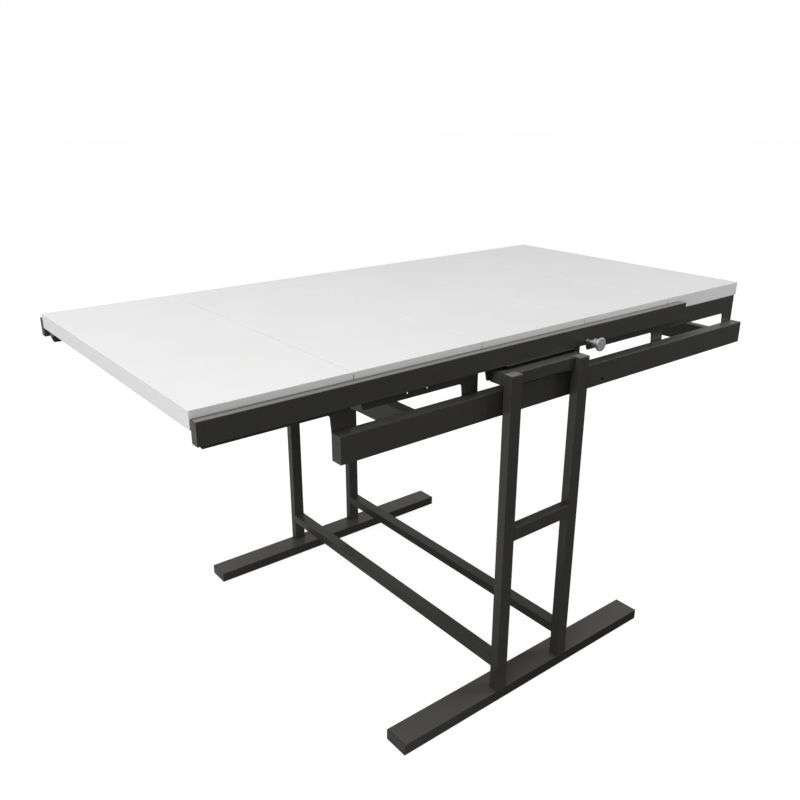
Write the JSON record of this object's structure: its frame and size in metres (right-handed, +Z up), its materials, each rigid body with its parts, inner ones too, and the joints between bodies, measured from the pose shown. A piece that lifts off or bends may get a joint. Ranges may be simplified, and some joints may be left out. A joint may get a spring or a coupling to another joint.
{
  "type": "convertible dining table",
  "caption": "Dining table with a row of white boards hung on parallel side bars between dark leg frames; the bars swing up and the level boards become a stepped shelf.",
  "frame": {"origin": "on the floor, under the middle of the table top", "axes": "+X along the row of boards towards the end where the lower bars reach further out, +Y from the near leg frame to the far one, +Z up"},
  "size_m": [1.398, 0.811, 0.769],
  "materials": {
    "board": "satin white laminate",
    "frame_metal": "satin charcoal powder coat",
    "dark_cap": "matt charcoal",
    "rest_pad": "matt black",
    "glide": "matt black",
    "spacer": "matt black",
    "knob": "satin turned",
    "fastener": "plain zinc"
  },
  "bodies": {
    "base": {"bearer_bolts": "fastener", "bearer_far": "frame_metal", "bearer_near": "frame_metal", "foot_caps": "dark_cap", "foot_far": "frame_metal", "foot_glides": "glide", "foot_near": "frame_metal", "leaf_3": "board", "leaf_screws_3": "fastener", "mid_crossbar_far": "frame_metal", "mid_crossbar_near": "frame_metal", "rest_pads": "rest_pad", "side_plate_3_far": "frame_metal", "side_plate_3_near": "frame_metal", "stretcher_left": "frame_metal", "stretcher_right": "frame_metal", "upright_caps": "dark_cap", "upright_far_left": "frame_metal", "upright_far_right": "frame_metal", "upright_near_left": "frame_metal", "upright_near_right": "frame_metal"},
    "upper_bars": {"lock_barrels": "fastener", "upper_bar_caps": "dark_cap", "upper_bar_far": "frame_metal", "upper_bar_near": "frame_metal", "upper_pivot_bolts": "fastener", "upper_pivot_nuts": "fastener", "upper_pivot_spacers": "spacer"},
    "lower_bars": {"cross_tube_left": "frame_metal", "cross_tube_right": "frame_metal", "lower_bar_caps": "dark_cap", "lower_bar_far": "frame_metal", "lower_bar_near": "frame_metal", "lower_pivot_bolts": "fastener", "lower_pivot_nuts": "fastener", "lower_pivot_spacers": "spacer"},
    "leaf_1": {"leaf_1": "board", "leaf_screws_1": "fastener", "side_plate_1_far": "frame_metal", "side_plate_1_near": "frame_metal"},
    "leaf_2": {"leaf_2": "board", "leaf_screws_2": "fastener", "side_plate_2_far": "frame_metal", "side_plate_2_near": "frame_metal"},
    "leaf_4": {"leaf_4": "board", "leaf_screws_4": "fastener", "side_plate_4_far": "frame_metal", "side_plate_4_near": "frame_metal"},
    "leaf_5": {"leaf_5": "board", "leaf_screws_5": "fastener", "side_plate_5_far": "frame_metal", "side_plate_5_near": "frame_metal"},
    "lock_near": {"lock_knob_near": "knob"},
    "lock_far": {"lock_knob_far": "knob"}
  },
  "joints": [
    {"name": "fold", "type": "hinge", "parent": "base", "child": "upper_bars", "pos_m": [-0.124, 0, 0.7258], "axis": [0, -1, 0], "range_deg": [0, 81.5]},
    {"name": "lower_bar_fold", "type": "hinge", "parent": "base", "child": "lower_bars", "pos_m": [0.12, 0, 0.6538], "axis": [0, -1, 0], "range_deg": [0, 81.5]},
    {"name": "leaf_1_level", "type": "hinge", "parent": "upper_bars", "child": "leaf_1", "pos_m": [-0.684, 0, 0.7258], "axis": [0, -1, 0], "range_deg": [-81.5, 0]},
    {"name": "leaf_2_level", "type": "hinge", "parent": "upper_bars", "child": "leaf_2", "pos_m": [-0.404, 0, 0.7258], "axis": [0, -1, 0], "range_deg": [-81.5, 0]},
    {"name": "leaf_4_level", "type": "hinge", "parent": "upper_bars", "child": "leaf_4", "pos_m": [0.156, 0, 0.7258], "axis": [0, -1, 0], "range_deg": [-81.5, 0]},
    {"name": "leaf_5_level", "type": "hinge", "parent": "upper_bars", "child": "leaf_5", "pos_m": [0.436, 0, 0.7258], "axis": [0, -1, 0], "range_deg": [-81.5, 0]},
    {"name": "lock_near_pull", "type": "slide", "parent": "upper_bars", "child": "lock_near", "axis": [0, -1, 0], "range_m": [0, 0.008], "stiffness_N_per_m": 1200, "springref_m": -0.003},
    {"name": "lock_far_pull", "type": "slide", "parent": "upper_bars", "child": "lock_far", "axis": [0, 1, 0], "range_m": [0, 0.008], "stiffness_N_per_m": 1200, "springref_m": -0.003}
  ],
  "couplings": [
    {"joint": "lower_bar_fold", "follows": "fold", "ratio": 1},
    {"joint": "leaf_1_level", "follows": "fold", "ratio": -1},
    {"joint": "leaf_2_level", "follows": "fold", "ratio": -1},
    {"joint": "leaf_4_level", "follows": "fold", "ratio": -1},
    {"joint": "leaf_5_level", "follows": "fold", "ratio": -1}
  ]
}
